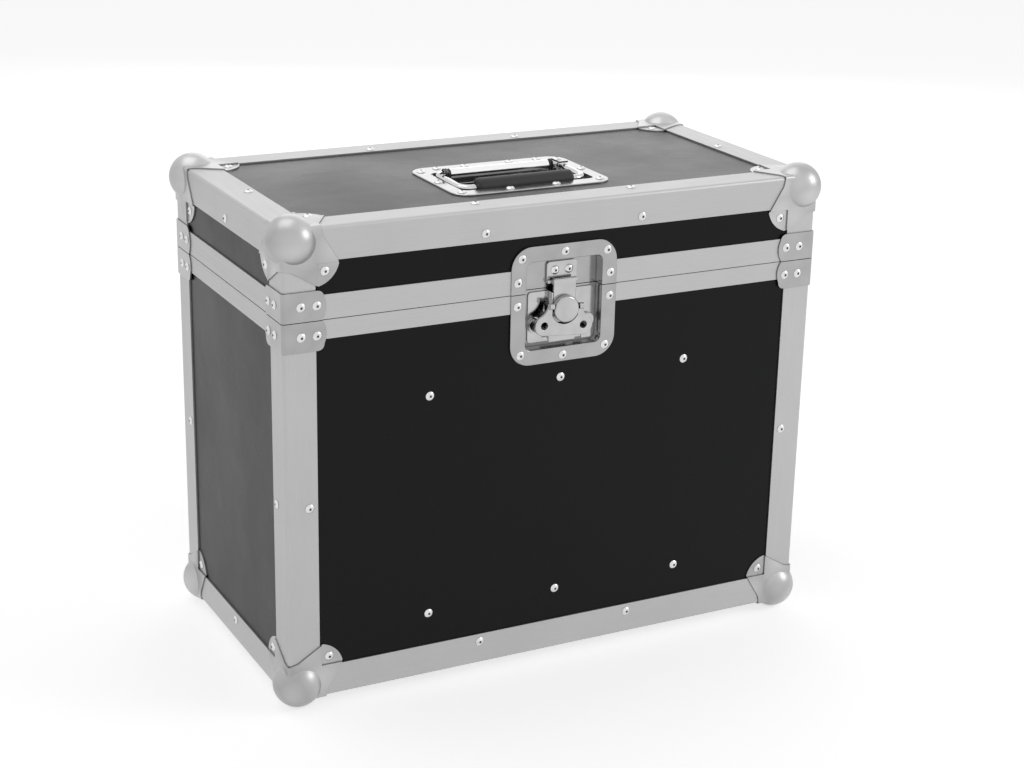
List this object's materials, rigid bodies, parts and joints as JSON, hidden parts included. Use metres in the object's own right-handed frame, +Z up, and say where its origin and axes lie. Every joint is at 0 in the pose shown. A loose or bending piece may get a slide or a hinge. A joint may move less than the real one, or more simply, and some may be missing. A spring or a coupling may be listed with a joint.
{
  "type": "flight case",
  "caption": "Hinged plywood equipment case with aluminium edging, ball corners, a recessed twist latch on the front and a recessed spring handle in the lid.",
  "frame": {"origin": "on the ground under the middle of the case, at the level of the lower ball corners' undersides", "axes": "+X to the right along the latch side, +Y from the latch side to the hinged back, +Z up"},
  "size_m": [0.5542, 0.2946, 0.4544],
  "materials": {
    "laminate": "black satin laminate over plywood",
    "divider_board": "black satin laminate board",
    "aluminium": "satin extruded aluminium",
    "foam": "dark foam, matt",
    "rivet_steel": "plated rivet heads, satin",
    "chrome_rod": "bright chrome",
    "grip_rubber": "black rubber, satin",
    "spring_steel": "blackened steel wire",
    "zinc_steel": "zinc-plated pressed steel, satin"
  },
  "bodies": {
    "case": {"body_front_panel": "laminate", "body_back_panel": "laminate", "body_left_panel": "laminate", "body_right_panel": "laminate", "body_bottom_panel": "laminate", "body_edge_front_left": "aluminium", "body_edge_front_right": "aluminium", "body_edge_back_left": "aluminium", "body_edge_back_right": "aluminium", "bottom_edge_front": "aluminium", "bottom_edge_back": "aluminium", "bottom_edge_left": "aluminium", "bottom_edge_right": "aluminium", "body_rim_front": "aluminium", "body_rim_back": "aluminium", "body_rim_left": "aluminium", "body_rim_right": "aluminium", "body_ball_corners": "zinc_steel", "body_corner_braces": "zinc_steel", "divider_left": "divider_board", "divider_centre": "divider_board", "divider_right": "divider_board", "divider_channels": "aluminium", "body_rivets": "rivet_steel", "body_corner_rivets": "rivet_steel", "body_foam": "foam", "latch_body_dish": "zinc_steel", "latch_base": "zinc_steel", "hinge_body_leaves": "zinc_steel", "hinge_pins": "chrome_rod"},
    "lid": {"lid_top_panel": "laminate", "lid_front_panel": "laminate", "lid_back_panel": "laminate", "lid_left_panel": "laminate", "lid_right_panel": "laminate", "lid_edge_front": "aluminium", "lid_edge_back": "aluminium", "lid_edge_left": "aluminium", "lid_edge_right": "aluminium", "lid_corner_angles": "aluminium", "lid_rim_front": "aluminium", "lid_rim_back": "aluminium", "lid_rim_left": "aluminium", "lid_rim_right": "aluminium", "lid_ball_corners": "zinc_steel", "lid_corner_braces": "zinc_steel", "latch_lid_dish": "zinc_steel", "latch_keeper": "zinc_steel", "hinge_lid_leaves": "zinc_steel", "lid_rivets": "rivet_steel", "lid_corner_rivets": "rivet_steel", "handle_plate": "zinc_steel", "lid_foam": "foam"},
    "latch_cam": {"latch_cam": "zinc_steel", "latch_wing_pin": "chrome_rod"},
    "latch_wing": {"latch_wing": "zinc_steel"},
    "latch_hook": {"latch_hook_plate": "zinc_steel"},
    "handle": {"handle_bail": "chrome_rod", "handle_grip": "grip_rubber", "handle_springs": "spring_steel"}
  },
  "joints": [
    {"name": "lid_open", "type": "hinge", "parent": "case", "child": "lid", "pos_m": [0, 0.14215, 0.3637], "axis": [-1, 0, 0], "range_deg": [0, 100]},
    {"name": "handle_lift", "type": "hinge", "parent": "lid", "child": "handle", "pos_m": [-0.001, -0.0065, 0.4448], "axis": [-1, 0, 0], "range_deg": [0, 90], "stiffness_Nm_per_rad": 0.06},
    {"name": "latch_turn", "type": "hinge", "parent": "case", "child": "latch_cam", "pos_m": [0.002, -0.13775, 0.3456], "axis": [0, -1, 0], "range_deg": [0, 180]},
    {"name": "wing_fold", "type": "hinge", "parent": "latch_cam", "child": "latch_wing", "pos_m": [0.0022, -0.13915, 0.34809], "axis": [-0.9969, 0, 0.0785], "range_deg": [0, 90]},
    {"name": "hook_lift", "type": "slide", "parent": "case", "child": "latch_hook", "axis": [0, 0, 1], "range_m": [0, 0.007]}
  ],
  "couplings": [
    {"joint": "hook_lift", "follows": "latch_turn", "m_per_rad": 0.00222}
  ]
}
